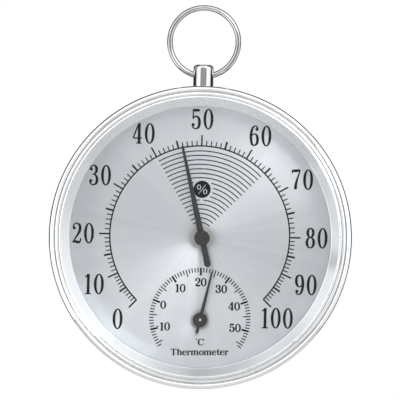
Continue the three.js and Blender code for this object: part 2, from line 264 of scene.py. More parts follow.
def stamped(name, outline, holes, low, high, ease, place):
    """A flat part from h low to h high, its front edges eased inwards by so many millimetres."""
    loops = [anticlockwise(outline)] + [anticlockwise(h)[::-1] for h in holes]
    rings = [[], [], []]
    starts = []
    for loop in loops:
        starts.append((len(rings[0]), len(loop)))
        for i, here in enumerate(loop):
            ahead = (Vector(loop[(i + 1) % len(loop)]) - Vector(loop[i - 1])).normalized()
            inward = Vector((-ahead.y, ahead.x))
            here = Vector(here)
            rings[0].append(here)
            rings[1].append(here + inward * ease * 0.3)
            rings[2].append(here + inward * ease)
    heights = [low, high - ease, high - ease * 0.3, high]
    layers = [rings[0], rings[0], rings[1], rings[2]]
    points = [(p.x, p.y, h) for ring, h in zip(layers, heights) for p in ring]
    count = len(rings[0])
    faces = []
    for start, length in starts:
        for i in range(length):
            a = start + i
            b = start + (i + 1) % length
            faces += [(a + k * count, b + k * count, b + k * count + count, a + k * count + count)
                      for k in range(3)]
    for ring, base, flip in ((rings[0], 0, True), (rings[2], 3 * count, False)):
        sets = [list(range(start, start + length)) for start, length in starts]
        sets = [sets[0]] + [list(reversed(s)) for s in sets[1:]]
        out = delaunay_2d_cdt(ring, [], sets, 0, CLEAN)
        source = [used[0] for used in out[3]]
        for triangle, used in zip(out[2], out[5]):
            if list(used) == [0]:
                triangle = [base + source[v] for v in triangle]
                faces.append(tuple(reversed(triangle)) if flip else tuple(triangle))
    return add_piece(name, points, faces, place)


def circle(radius, x=0.0, y=0.0, steps=96):
    """A round loop."""
    turns = [2 * math.pi * k / steps for k in range(steps)]
    return [(x + radius * math.cos(a), y + radius * math.sin(a)) for a in turns]


def arc(radius, start, end, x=0.0, y=0.0, step=4.0):
    """Points round a centre from one clock angle to another, in degrees clockwise from the top."""
    count = max(2, math.ceil(abs(end - start) / step))
    turns = [math.radians(start + (end - start) * k / count) for k in range(count + 1)]
    return [(x + radius * math.sin(a), y + radius * math.cos(a)) for a in turns]


# %% [markdown]
# Shader maths reads best as sums. This small class holds the output socket of a node, and adding
# or multiplying two of them adds the Math node that does it. The other form of each sum is there
# too, so that 1 - mask works. Every other kind of node comes from one method, which takes the
# node's type, its settings and what goes into its sockets.


# %% Shader maths
class Wire:
    """The output socket of a node. Sums on wires add Math nodes to the tree being made."""

    tree = None

    def __init__(self, socket):
        self.socket = socket

    @classmethod
    def node(cls, kind, settings=None, sockets=None, out=0):
        """Adds a node: its settings first, then the values or links of its sockets."""
        made = cls.tree.nodes.new(kind)
        for key, value in (settings or {}).items():
            if key == "stops":
                ramp = made.color_ramp.elements
                while len(ramp) < len(value):
                    ramp.new(0.5)
                for stop, (position, colour) in zip(ramp, value):
                    stop.position = position
                    stop.color = colour
            else:
                setattr(made, key, value)
        for key, value in (sockets or {}).items():
            if isinstance(value, Wire):
                cls.tree.links.new(value.socket, made.inputs[key])
            else:
                made.inputs[key].default_value = value
        return cls(made.outputs[out]) if len(made.outputs) else None

    def maths(self, operation, *others):
        """A Math node on this wire and others."""
        values = dict(enumerate((self,) + others))
        return Wire.node("ShaderNodeMath", {"operation": operation}, values)

    def __add__(self, other):
        return self.maths("ADD", other)

    __radd__ = __add__

    def __mul__(self, other):
        return self.maths("MULTIPLY", other)

    __rmul__ = __mul__

    def __sub__(self, other):
        return self.maths("SUBTRACT", other)

    def __rsub__(self, other):
        return Wire.node("ShaderNodeMath", {"operation": "SUBTRACT"}, {0: other, 1: self})

    def __truediv__(self, other):
        return self.maths("DIVIDE", other)

    def __pow__(self, other):
        return self.maths("POWER", other)


def rise(value, low, high):
    """0 below low, 1 above high, and a smooth step between them."""
    ends = {"Value": value, "From Min": low, "From Max": high}
    return Wire.node("ShaderNodeMapRange", {"interpolation_type": "SMOOTHSTEP"}, ends)


def between(value, low, high):
    """Straight from low to high as the value goes from 0 to 1."""
    return value * (high - low) + low


def tinted(mask, colour, other):
    """One colour where the mask is 0, the other where it is 1."""
    rgb = [(*c, 1.0) if isinstance(c, tuple) and len(c) == 3 else c for c in (colour, other)]
    return Wire.node("ShaderNodeMix", {"data_type": "RGBA"}, {0: mask, 6: rgb[0], 7: rgb[1]}, out=2)


def speckle(where, scale, detail=2.0, sharpness=0.5):
    """Soft noise from 0 to 1, with so many grains to the metre."""
    sockets = {"Vector": where, "Scale": scale, "Detail": detail, "Roughness": sharpness}
    return Wire.node("ShaderNodeTexNoise", {}, sockets)


def own_place():
    """Where a point is in its own object, in metres."""
    return Wire.node("ShaderNodeTexCoord", out=3)


def apart(vector):
    """The x, y and z of a vector."""
    split = Wire.node("ShaderNodeSeparateXYZ", {}, {0: vector}).socket.node
    return [Wire(s) for s in split.outputs]


def together(x, y, z):
    """A vector of three numbers or wires."""
    return Wire.node("ShaderNodeCombineXYZ", {}, {0: x, 1: y, 2: z})


def raised(height, distance, strength=1.0):
    """A normal bent by a height from 0 to 1, where 1 stands so many metres proud."""
    return Wire.node("ShaderNodeBump", {}, {"Height": height, "Distance": distance, "Strength": strength})


def new_finish(name):
    """Starts a material. The nodes made next go into it."""
    finish = bpy.data.materials.new(name)
    finish.use_nodes = True
    finish.node_tree.nodes.clear()
    Wire.tree = finish.node_tree
    return finish


def coat(**sockets):
    """The usual shader, joined to the output. Names use _ for a space."""
    values = {key.replace("_", " "): value for key, value in sockets.items()}
    for key, value in values.items():
        if isinstance(value, tuple) and len(value) == 3:
            values[key] = (*value, 1.0)
    shader = Wire.node("ShaderNodeBsdfPrincipled", {}, values)
    Wire.node("ShaderNodeOutputMaterial", {}, {"Surface": shader})


print("shader helpers ready")

# %% [markdown]
# Chrome is almost a mirror. What tells it from a perfect one is handling: soft smears that dull
# it a little, and hair-fine scratches that only show against a dark reflection. The smears change
# the roughness by a few hundredths, and the scratches are a very stretched noise used as a bump.
# The wire ring is only nickelled, which is darker and greyer than chrome, and it is rubbed dull in
# patches where it hangs and turns.

# %% Chrome
chrome = new_finish("polished_chrome")
spot = own_place()
smear = rise(speckle(spot, 90, 3), 0.45, 0.75)
stretched = Wire.node("ShaderNodeMapping", {}, {"Vector": spot, "Scale": (900, 5200, 900)})
scratch = rise(speckle(stretched, 1, 2), 0.62, 0.8)
coat(
    Base_Color=tinted(smear, (0.86, 0.87, 0.88), (0.80, 0.81, 0.82)),
    Metallic=1.0,
    Roughness=between(smear, 0.035, 0.085) + scratch * 0.03,
    Normal=raised(scratch, 1.5e-6),
)

wire_nickel = new_finish("nickelled_wire")
spot = own_place()
rubbed = rise(speckle(spot, 260, 3), 0.4, 0.7)
drawn = rise(speckle(spot, 3400, 2), 0.6, 0.8)
coat(
    Base_Color=tinted(rubbed, (0.63, 0.63, 0.635), (0.56, 0.555, 0.55)),
    Metallic=1.0,
    Roughness=between(rubbed, 0.06, 0.12) + drawn * 0.04,
    Normal=raised(drawn, 1.5e-6),
)
print(chrome.name, wire_nickel.name)

# %% [markdown]
# The sloping ring inside the glass is bright too, but it is a thin pressing: it mirrors the edge
# of the dial, a little blurred and rippled. Slow waves round the ring bend its reflections.

# %% Reflector
reflector_finish = new_finish("bright_pressing")
spot = own_place()
ripple = speckle(spot, 130, 1)
dust = rise(speckle(spot, 2600, 2), 0.66, 0.78)
coat(
    Base_Color=tinted(dust, (0.84, 0.86, 0.88), (0.74, 0.75, 0.77)),
    Metallic=1.0,
    Roughness=between(ripple, 0.10, 0.17) + dust * 0.08,
    Normal=raised(ripple, 4e-5),
)
print(reflector_finish.name)

# %% [markdown]
# The dial is aluminium, brushed in circles while it turned, and lacquered. Circular brushing
# stretches every reflection outwards from the centre, and that is the light and dark fan that
# moves as one walks past. Anisotropy makes the fan, and it takes its direction from the object's
# own Z axis. The strokes themselves are a noise read in polar form: quick along the radius and
# slow round it. A second noise, read only round the dial, paints wide soft bands of highlight
# and shade into the colour: partly the metal's own streaky tone, partly a painted highlight of the fan.

# %% Brushed dial
dial_finish = new_finish("brushed_aluminium_dial")
x, y, _ = apart(own_place())
radius = (x * x + y * y) ** 0.5
round_x = x / (radius + 1e-5)
round_y = y / (radius + 1e-5)
strokes = speckle(together(round_x * 2.2, round_y * 2.2, radius * 5200), 1, 3, 0.6)
# Painted highlight: this noise lightens and darkens the colour in wide soft bands round the centre, like
# the brushed fan.
painted_fan_highlight = speckle(together(round_x * 9, round_y * 9, radius * 6), 1, 2)
blush = speckle(own_place(), 55, 2)
# The colour mixes the real brushing strokes and a random blush with the bands of painted highlight.
tone = strokes * 0.35 + painted_fan_highlight * 0.4 + blush * 0.25
coat(
    Base_Color=tinted(rise(tone, 0.3, 0.7), (0.735, 0.755, 0.785), (0.815, 0.835, 0.865)),
    Metallic=0.65,
    Roughness=between(strokes, 0.32, 0.42),
    Anisotropic=0.8,
    Anisotropic_Rotation=0.25,
    Normal=raised(strokes, 1.2e-6),
)
print(dial_finish.name)

# %% [markdown]
# Two blacks. The printing is a matt ink with a faint unevenness. The hands are stamped aluminium
# with a baked black finish: a touch of grain from the spray, and a few specks of dust.

# %% Blacks
ink = new_finish("printing_ink")
spot = own_place()
uneven = speckle(spot, 1400, 3)
coat(
    Base_Color=tinted(uneven, (0.003, 0.0033, 0.0036), (0.009, 0.0095, 0.01)),
    Roughness=between(uneven, 0.5, 0.7),
    Specular_IOR_Level=0.15,
    Normal=raised(uneven, 2e-6),
)

hand_black = new_finish("baked_black")
spot = own_place()
grain = speckle(spot, 4200, 2)
dust = rise(speckle(spot, 1900, 3), 0.68, 0.8)
coat(
    Base_Color=tinted(dust, (0.021, 0.021, 0.023), (0.075, 0.074, 0.072)),
    Roughness=between(grain, 0.42, 0.6),
    Normal=raised(grain, 4e-6),
)
print(ink.name, hand_black.name)

# %% [markdown]
# Glass this flat and thin only needs two things: it lets light straight through, and it mirrors
# a little, more at a slant. A Fresnel node says how much. Light isn't bent on its way in here, so
# where it leaves the glass the mirror is switched off. Otherwise slanted light would be caught
# inside. A faint wiping haze roughens the mirror here and there.

# %% Glass
glass = new_finish("flat_glass")
haze = rise(speckle(own_place(), 60, 4), 0.5, 0.8)
clear = Wire.node("ShaderNodeBsdfTransparent", {}, {"Color": (0.985, 0.99, 0.992, 1)})
mirror = Wire.node("ShaderNodeBsdfPrincipled", {}, {
    "Base Color": (1.0, 1.0, 1.0, 1),
    "Metallic": 1.0,
    "Roughness": between(haze, 0.0, 0.06),
})
shine = Wire.node("ShaderNodeFresnel", {}, {"IOR": 1.5})
leaving = Wire.node("ShaderNodeNewGeometry", out=6)
both = Wire.node("ShaderNodeMixShader", {}, {0: shine * (1 - leaving), 1: clear, 2: mirror})
Wire.node("ShaderNodeOutputMaterial", {}, {"Surface": both})
print(glass.name)

# %% [markdown]
# The case is drawn from bright sheet steel and spun smooth, so it shares the dial's circular
# grain, but coarser and duller, with storage marks. Its own Z axis is the case axis.

# %% Spun steel
case_finish = new_finish("spun_steel")
spot = own_place()
x, y, z = apart(spot)
radius = (x * x + y * y) ** 0.5
turns = speckle(together(x * 12, y * 12, radius * 2600), 1, 3, 0.6)
turns_side = speckle(together(x * 12, y * 12, z * 2600), 1, 3, 0.6)
wear = rise(speckle(spot, 70, 4), 0.5, 0.72)
grooves = (turns + turns_side) * 0.5
coat(
    Base_Color=tinted(wear, (0.64, 0.65, 0.66), (0.58, 0.59, 0.60)),
    Metallic=1.0,
    Roughness=between(grooves, 0.24, 0.38) + wear * 0.05,
    Anisotropic=0.5,
    Anisotropic_Rotation=0.25,
    Normal=raised(grooves, 3e-6),
)
print(case_finish.name)

# %% [markdown]
# Small turned and rolled metals share one recipe: a base tone, a warmer or darker tarnish in
# patches, and fine tool lines. Only the colours, the roughness and the line scale differ.


# %% Small metals
def small_metal(name, tone, tarnish, rough, lines):
    """A machined or rolled metal with tool lines across its own Y axis."""
    finish = new_finish(name)
    spot = own_place()
    patches = rise(speckle(spot, 320, 3), 0.42, 0.7)
    ruled = Wire.node("ShaderNodeMapping", {}, {"Vector": spot, "Scale": (120, lines, 120)})
    marks = speckle(ruled, 1, 2)
    coat(
        Base_Color=tinted(patches, tone, tarnish),
        Metallic=1.0,
        Roughness=between(marks, rough, rough + 0.14) + patches * 0.08,
        Normal=raised(marks, 2e-6),
    )
    print(name)
    return finish


brass = small_metal("rolled_brass", (0.66, 0.52, 0.28), (0.50, 0.36, 0.18), 0.24, 9000)
screw_steel = small_metal("machined_steel", (0.60, 0.60, 0.61), (0.48, 0.47, 0.47), 0.22, 14000)
arbor_steel = small_metal("ground_steel", (0.70, 0.70, 0.71), (0.60, 0.60, 0.61), 0.16, 16000)
bimetal_strip = small_metal("bimetal_strip", (0.50, 0.47, 0.42), (0.42, 0.36, 0.28), 0.30, 11000)

# %% [markdown]
# The soft and moulded pieces behind the dial. The damp-sensing strip carries a brown coating with
# a slight mottle, the carrier is black moulded plastic with a spark-eroded grain, and the gasket
# is rubber with a bloom on it.


# %% Coatings, plastic and rubber
def moulded(name, tone, pale, rough, scale, depth):
    """A dull material: two close tones, a grain and a matt surface."""
    finish = new_finish(name)
    spot = own_place()
    mottle = rise(speckle(spot, scale / 12, 3), 0.35, 0.7)
    grain = speckle(spot, scale, 2)
    coat(
        Base_Color=tinted(mottle, tone, pale),
        Roughness=between(grain, rough - 0.08, rough + 0.08),
        Normal=raised(grain, depth),
    )
    print(name)
    return finish


humidity_strip = moulded("coated_strip", (0.46, 0.36, 0.21), (0.55, 0.45, 0.28), 0.62, 3800, 8e-6)
black_plastic = moulded("grained_plastic", (0.026, 0.026, 0.027), (0.038, 0.038, 0.039), 0.5, 6000, 1e-5)
rubber = moulded("bloomed_rubber", (0.024, 0.024, 0.024), (0.045, 0.044, 0.042), 0.78, 5000, 1.2e-5)

# %% [markdown]
# The case is a shallow drawn cup with a rolled mouth. Its back has twelve slots that let room air
# reach the strip, a hole for the driver that adjusts the hand, and the screw hole for the post.
# The cup is turned, and the openings are cut out of it as a press would.

# %% Case
SLOTS = 12
SLOT_RADIUS = 31.0
SLOT_LENGTH = 10.0
SLOT_WIDTH = 2.0
DRIVER_HOLE = 3.0
SCREW_HOLE = 1.65
POST_H = 10.1
cup = turned("case_shell", [
    (0, 0), (46.6, 0, 0.5), (47.5, 0.3, 0.3), (48, 1.3, 0.8), (48, 19.05, 0.25), (49.1, 19.05, 0.2),
    (49.1, 19.85, 0.2), (47.2, 19.85, 0.25), (47.2, 1.8, 0.3), (46.5, 1, 0.3), (0, 1),
], DIAL_SPACE)


def slot_loop(angle):
    """A round-ended slot that lies along the radius at a clock angle."""
    half = SLOT_WIDTH / 2
    reach = SLOT_LENGTH / 2 - half
    bow = [math.pi * k / 12 for k in range(13)]
    ends = [(half * math.cos(a), SLOT_RADIUS + reach + half * math.sin(a)) for a in bow]
    ends += [(-half * math.cos(a), SLOT_RADIUS - reach - half * math.sin(a)) for a in bow]
    turn = math.radians(angle)
    return [(u * math.cos(turn) + v * math.sin(turn), v * math.cos(turn) - u * math.sin(turn))
            for u, v in ends]


openings = [slot_loop(15 + 360 / SLOTS * k) for k in range(SLOTS)]
openings.append(circle(DRIVER_HOLE, *HUMIDITY_HUB, steps=48))
press = printed("press_tool", openings, -2, 3, DIAL_SPACE)
upright = Matrix.Translation(CASE_CENTRE - Vector((0, POST_H * MM, 0)))
drill = turned("drill", [(0, 40), (SCREW_HOLE, 40), (SCREW_HOLE, 56), (0, 56)], upright, 48)
cut_away(cup, press, drill)
fit(cup, "case", "case_steel", case_finish, "case_cup")

# %% [markdown]
# The bezel is spun from brass and chromed. It carries a bold outer roll, a fine groove, a smaller
# roll, and a step down to the lip over the glass. Those rolls are most of what is seen of it, as
# thin light and dark rings, so each corner of the profile has its own small round.

# %% Bezel
bezel = turned("bezel_ring", [
    (48.2, 18.4, 0.15), (49.6, 18.4, 0.3), (50, 18.9, 0.35), (50, 22.95, 0.2), (49.66, 23.6, 0.15),
    (48.95, 24, 0.12), (48.42, 23.72, 0.08), (48.15, 23.25, 0.06), (47.75, 23.46, 0.1),
    (47.3, 23.63, 0.12), (46.9, 23.35, 0.08), (46.72, 22.96, 0.06), (46.22, 23.14, 0.06),
    (46.06, 22.8, 0.05), (49.3, 22.75, 0.1), (49.3, 19, 0.1), (48.2, 19, 0.1),
], DIAL_SPACE, 320)
fit(bezel, "case", "chrome", chrome, "bezel")

# %% [markdown]
# The reflector stands between the dial and the glass. A straight wall rises from the dial, and a
# bright cone leads from it up to the glass. The narrow lip between them bends from one slope to
# the other, so it mirrors other parts of the room and shows as a thin soft line.

# %% Reflector ring
ring = turned("reflector_cone", [
    (43.2, 13.15, 0.1), (43.9, 13.15, 0.1), (43.9, 18.2, 0.3), (46.4, 20.05, 0.3), (47, 20.05, 0.1),
    (47, 20.75, 0.1), (46.2, 20.75, 0.3), (43.5, 18.87, 0.06), (43.28, 18.73, 0.03),
    (43.2, 18.62, 0.04),
], DIAL_SPACE, 320)
fit(ring, "case", "reflector", reflector_finish, "reflector_ring")

# %% [markdown]
# The glass is a plain disc with ground edges. It is turned like the rest.

# %% Lens
lens = turned("front_glass", [
    (0, 20.8), (46.8, 20.8, 0.05), (47.1, 21.1, 0.05), (47.1, 22, 0.05), (46.8, 22.3, 0.05),
    (0, 22.3),
], DIAL_SPACE)
fit(lens, "case", "lens_glass", glass, "lens")

# %% [markdown]
# The dial plate is stamped, with a hole for each bush. Its object is centred on the case axis, so
# its brushing runs in circles round the middle of the dial.

# %% Dial plate
DIAL_BACK = 12.6
DIAL_FRONT = 13.1
DIAL_RADIUS = 46.8
BUSH_HOLE = 2.0
bush_holes = [circle(BUSH_HOLE, *hub, steps=48) for hub in (HUMIDITY_HUB, THERMOMETER_HUB)]
plate = stamped("dial_face", circle(DIAL_RADIUS, steps=256), bush_holes, DIAL_BACK, DIAL_FRONT,
                0.06, DIAL_SPACE)
fit(plate, "case", "dial_silver", dial_finish, "dial_plate")

# %% [markdown]
# The numerals are an old-style printer's face with thick sides and hairlines. Each one is written
# here with a pen: a line of points in a box one wide and one high, and at each point how hard the
# pen presses, from 0 for a hairline to 1 for a full stem. A smooth curve through the points gives
# the ribbon of ink. Balls end the open strokes.

# %% The pen
CURVE_STEPS = 6


def smooth(way):
    """A Catmull-Rom curve through points of any length, or the two ends of a straight line."""
    if len(way) == 2:
        return list(way)
    line = []
    last = len(way) - 1
    for i in range(last):
        a, b, c, d = (way[max(0, min(last, k))] for k in (i - 1, i, i + 1, i + 2))
        for k in range(CURVE_STEPS):
            t = k / CURVE_STEPS
            line.append(tuple(
                0.5 * (2 * q + (r - p) * t + (2 * p - 5 * q + 4 * r - s) * t * t
                       + (3 * q - p - 3 * r + s) * t ** 3)
                for p, q, r, s in zip(a, b, c, d)))
    return line + [way[-1]]


def ribbon(line):
    """Four-sided loops along a line of (x, y, width)."""
    sides = []
    for i, (px, py, width) in enumerate(line):
        ahead = line[min(i + 1, len(line) - 1)]
        behind = line[max(i - 1, 0)]
        run = Vector((ahead[0] - behind[0], ahead[1] - behind[1])).normalized()
        half = Vector((-run.y, run.x)) * width / 2
        sides.append((Vector((px, py)) + half, Vector((px, py)) - half))
    loops = []
    for (left, right), (next_left, next_right) in zip(sides, sides[1:]):
        loops.append([tuple(right), tuple(next_right), tuple(next_left), tuple(left)])
    return loops


def written(strokes, x, y, width, height, thin, thick):
    """Loops for strokes in a unit box, written with its lower left corner at x, y."""
    loops = []
    for stroke in strokes:
        if stroke[0] == "ball":
            _, px, py, size = stroke
            loops.append(circle(size * thick / 2, x + px * width, y + py * height, 16))
            continue
        way = [(x + px * width, y + py * height, thin + (thick - thin) * press)
               for px, py, press in stroke]
        loops += ribbon(smooth(way))
    return loops


def oval(cx, cy, rx, ry, weight=1.0):
    """A closed ring, heavy at its sides and a hairline at top and bottom."""
    turns = [math.pi * k / 8 for k in range(17)]
    return [(cx + rx * math.cos(a), cy + ry * math.sin(a), weight * abs(math.cos(a)) ** 1.6)
            for a in turns]


DIGITS = {
    "0": [oval(0.5, 0.5, 0.40, 0.482)],
    "1": [[(0.56, 0, 1), (0.56, 0.99, 1)], [(0.22, 0.012, 0), (0.88, 0.012, 0)],
          [(0.2, 0.85, 0.05), (0.38, 0.88, 0.15), (0.5, 0.97, 0.3)]],
    "2": [("ball", 0.2, 0.745, 1.15),
          [(0.1, 0.74, 0.2), (0.14, 0.88, 0.1), (0.3, 0.965, 0), (0.5, 0.98, 0.1), (0.76, 0.91, 0.7),
           (0.85, 0.75, 1), (0.77, 0.57, 0.85), (0.52, 0.36, 0.4), (0.24, 0.16, 0.1), (0.08, 0.02, 0)],
          [(0.08, 0.05, 0.2), (0.25, 0.085, 0.8), (0.5, 0.06, 1), (0.75, 0.045, 0.8), (0.9, 0.1, 0.2)],
          [(0.88, 0.08, 0.1), (0.95, 0.25, 0)]],
    "3": [("ball", 0.2, 0.79, 1.1),
          [(0.11, 0.8, 0.2), (0.2, 0.92, 0.1), (0.45, 0.982, 0), (0.7, 0.92, 0.7), (0.79, 0.77, 1),
           (0.7, 0.61, 0.6), (0.48, 0.54, 0), (0.34, 0.535, 0)],
          [(0.34, 0.535, 0), (0.52, 0.53, 0.1), (0.76, 0.45, 0.7), (0.86, 0.27, 1), (0.76, 0.09, 0.7),
           (0.45, 0.017, 0), (0.18, 0.07, 0.1), (0.07, 0.2, 0.2)],
          ("ball", 0.17, 0.215, 1.15)],
    "4": [[(0.64, 1, 0.2), (0.02, 0.27, 0.12)], [(0.02, 0.262, 0.12), (0.98, 0.262, 0.12)],
          [(0.68, 0, 1), (0.68, 1, 1)], [(0.4, 0.012, 0), (0.94, 0.012, 0)]],
    "5": [[(0.17, 0.99, 0), (0.14, 0.5, 0)],
          [(0.17, 0.93, 0.9), (0.45, 0.93, 0.9), (0.72, 0.93, 0.9), (0.86, 0.955, 0.4)],
          [(0.14, 0.5, 0), (0.28, 0.6, 0.1), (0.5, 0.63, 0.2), (0.76, 0.54, 0.7), (0.86, 0.33, 1),
           (0.76, 0.1, 0.7), (0.45, 0.017, 0), (0.18, 0.07, 0.1), (0.07, 0.2, 0.2)],
          ("ball", 0.17, 0.215, 1.15)],
    "6": [("ball", 0.78, 0.82, 1.1),
          [(0.87, 0.84, 0.2), (0.76, 0.95, 0.1), (0.56, 0.982, 0), (0.28, 0.86, 0.6), (0.13, 0.5, 1),
           (0.24, 0.12, 0.7), (0.5, 0.017, 0)],
          [(0.5, 0.017, 0), (0.78, 0.11, 0.7), (0.87, 0.31, 1), (0.78, 0.51, 0.7), (0.55, 0.6, 0),
           (0.3, 0.54, 0), (0.15, 0.4, 0)]],
    "7": [[(0.1, 0.99, 0), (0.07, 0.79, 0)],
          [(0.1, 0.92, 0.5), (0.3, 0.925, 1), (0.55, 0.925, 1), (0.92, 0.96, 0.5)],
          [(0.93, 0.96, 0), (0.76, 0.69, 0.2), (0.57, 0.42, 0.6), (0.48, 0.2, 1), (0.46, 0.01, 1)]],
    "8": [oval(0.5, 0.76, 0.31, 0.222, 0.95), oval(0.5, 0.275, 0.38, 0.258)],
    "9": [],
}
DIGITS["9"] = [("ball", 1 - s[1], 1 - s[2], s[3]) if s[0] == "ball"
               else [(1 - px, 1 - py, press) for px, py, press in s] for s in DIGITS["6"]]
NARROW_ONE = 0.84


def number(text, x, y, width, height, pitch, thin, thick):
    """A number written with its middle at x, y, its digits one pitch apart."""
    share = [NARROW_ONE if c == "1" else 1.0 for c in text]
    steps = [0.0] + [(a + b) / 2 * pitch for a, b in zip(share, share[1:])]
    places = [sum(steps[:i + 1]) for i in range(len(text))]
    start = x - places[-1] / 2
    loops = []
    for c, place in zip(text, places):
        corner = start + place - width / 2
        loops += written(DIGITS[c], corner, y - height / 2, width, height, thin, thick)
    return loops


print("digits cut:", " ".join(sorted(DIGITS)))

# %% [markdown]
# The humidity scale isn't even. Damp air moves the strip less at both ends, so the marks crowd
# there. No formula gives that, so six readings have their own angles, and the marks are spread
# evenly between one of them and the next. Fives and tens are longer and bolder. Each numeral
# stands on the line of its mark. Only 100 stands half a figure further in, where its third figure
# keeps clear of the reflector.

# %% Humidity scale
INK_LOW = DIAL_FRONT - 0.01
INK_HIGH = DIAL_FRONT + 0.02
SCALE_CENTRE = (-0.06, 0.31)
SCALE_RADIUS = 29.8
SCALE_LINE = 0.46
TENTH_ANGLES = {0: -136.6, 10: -115.6, 20: -89.9, 80: 89.9, 90: 113.6, 100: 133.7}
HUMIDITY_MARKS = {10: (3.6, 0.52), 5: (2.6, 0.62), 1: (1.75, 0.36)}


def humidity_angle(percent):
    """The clock angle of a reading."""
    fixed = sorted(TENTH_ANGLES)
    low = max(m for m in fixed[:-1] if m <= percent)
    high = min(m for m in fixed if m > low)
    share = (percent - low) / (high - low)
    return TENTH_ANGLES[low] + (TENTH_ANGLES[high] - TENTH_ANGLES[low]) * share


def mark_size(reading, sizes):
    """The length and width of a reading's mark, from the roundest step that it falls on."""
    return next(size for step, size in sizes.items() if reading % step == 0)


def tick(centre, angle, inner, outer, width):
    """A straight mark along the radius."""
    a = math.radians(angle)
    out = Vector((math.sin(a), math.cos(a)))
    side = Vector((out.y, -out.x)) * width / 2
    middle_point = Vector(centre)
    ends = [middle_point + out * inner, middle_point + out * outer]
    return [tuple(ends[0] + side), tuple(ends[1] + side), tuple(ends[1] - side), tuple(ends[0] - side)]


def band(centre, radius, width, start, end, step=3.0):
    """Four-sided loops along a circular line."""
    inner = arc(radius - width / 2, start, end, *centre, step)
    outer = arc(radius + width / 2, start, end, *centre, step)
    return [[inner[i], outer[i], outer[i + 1], inner[i + 1]] for i in range(len(inner) - 1)]


marks = band(SCALE_CENTRE, SCALE_RADIUS, SCALE_LINE, TENTH_ANGLES[0], TENTH_ANGLES[100])
for percent in range(101):
    length, width = mark_size(percent, HUMIDITY_MARKS)
    outer = SCALE_RADIUS + length
    marks.append(tick(SCALE_CENTRE, humidity_angle(percent), SCALE_RADIUS, outer, width))
fit(printed("humidity_scale", marks, INK_LOW, INK_HIGH, DIAL_SPACE), "case", "black_paint", ink)

# %% Humidity numerals
NUMERAL_RADIUS = 38.7
FIGURE_STEP = 4.03
FIGURE_SIZE = (3.0, 6.7)
FIGURE_PEN = (0.42, 0.92)
figures = []
for percent in range(0, 101, 10):
    a = math.radians(humidity_angle(percent))
    inwards = FIGURE_STEP / 2 if percent == 100 else 0
    at = (SCALE_CENTRE[0] + NUMERAL_RADIUS * math.sin(a) - inwards,
          SCALE_CENTRE[1] + NUMERAL_RADIUS * math.cos(a))
    figures += number(str(percent), *at, *FIGURE_SIZE, FIGURE_STEP, *FIGURE_PEN)
fit(printed("humidity_numerals", figures, INK_LOW, INK_HIGH, DIAL_SPACE), "case", "black_paint", ink)

# %% [markdown]
# The fan of thin arcs marks the comfortable range of a room. Near the middle it stops in a clear
# ring round a black spot that carries the per cent sign, which is left open in the ink so that
# the metal shows through.

# %% Comfort fan and per cent sign
FAN_LINES = 17
FAN_FIRST = 4.49
FAN_PITCH = 1.479
FAN_PEN = 0.36
FAN_ENDS = (-30.1, 44.9)
BADGE = (0.38, 15.73)
BADGE_RADIUS = 2.85
CLEAR_RADIUS = 3.6
fan = []
toward = Vector(BADGE) - Vector(SCALE_CENTRE)
for k in range(FAN_LINES):
    radius = FAN_FIRST + FAN_PITCH * k
    bite = (radius ** 2 + toward.length_squared - CLEAR_RADIUS ** 2) / (2 * radius * toward.length)
    spans = [FAN_ENDS]
    if abs(bite) < 1:
        aim = math.degrees(math.atan2(toward.x, toward.y))
        half = math.degrees(math.acos(bite))
        spans = [(FAN_ENDS[0], aim - half), (aim + half, FAN_ENDS[1])]
    for start, end in spans:
        fan += band(SCALE_CENTRE, radius, FAN_PEN, start, end)
fit(printed("comfort_fan", fan, INK_LOW, INK_HIGH, DIAL_SPACE), "case", "black_paint", ink)

PER_CENT = [oval(0.2, 0.73, 0.15, 0.24, 0.6), oval(0.8, 0.27, 0.15, 0.24, 0.6),
            [(0.84, 1.0, 0.0), (0.16, 0.0, 0.0)]]
SIGN_WIDTH = 3.5
SIGN_HEIGHT = 3.2
SIGN_PEN = (0.18, 0.36)
sign = written(PER_CENT, BADGE[0] - SIGN_WIDTH / 2, BADGE[1] - SIGN_HEIGHT / 2, SIGN_WIDTH,
               SIGN_HEIGHT, *SIGN_PEN)
spot_of_ink = printed("percent_badge", [circle(BADGE_RADIUS, *BADGE, 64)], INK_LOW, INK_HIGH,
                      DIAL_SPACE, sign)
fit(spot_of_ink, "case", "black_paint", ink)

# %% [markdown]
# The thermometer's scale is even, one degree to each mark, and stands inwards from its circle.
# Its numerals are the same shapes cut wider and bolder, as small printing needs. The lone 0 stands
# half a figure further out, in line with the outer figures of its neighbours.

# %% Thermometer scale
WARM_CENTRE = (0.6, -27.08)
WARM_RADIUS = 16.8
DEGREE_STEP = 3.46
TOP_DEGREE = 20
LOWEST = -16
HIGHEST = 56
WARM_MARKS = {10: (2.5, 0.64), 5: (2.5, 0.36), 1: (1.5, 0.36)}
marks = []
for degree in range(LOWEST, HIGHEST + 1):
    length, width = mark_size(degree, WARM_MARKS)
    angle = (degree - TOP_DEGREE) * DEGREE_STEP
    marks.append(tick(WARM_CENTRE, angle, WARM_RADIUS - length, WARM_RADIUS, width))
fit(printed("thermometer_scale", marks, INK_LOW, INK_HIGH, DIAL_SPACE), "case", "black_paint", ink)

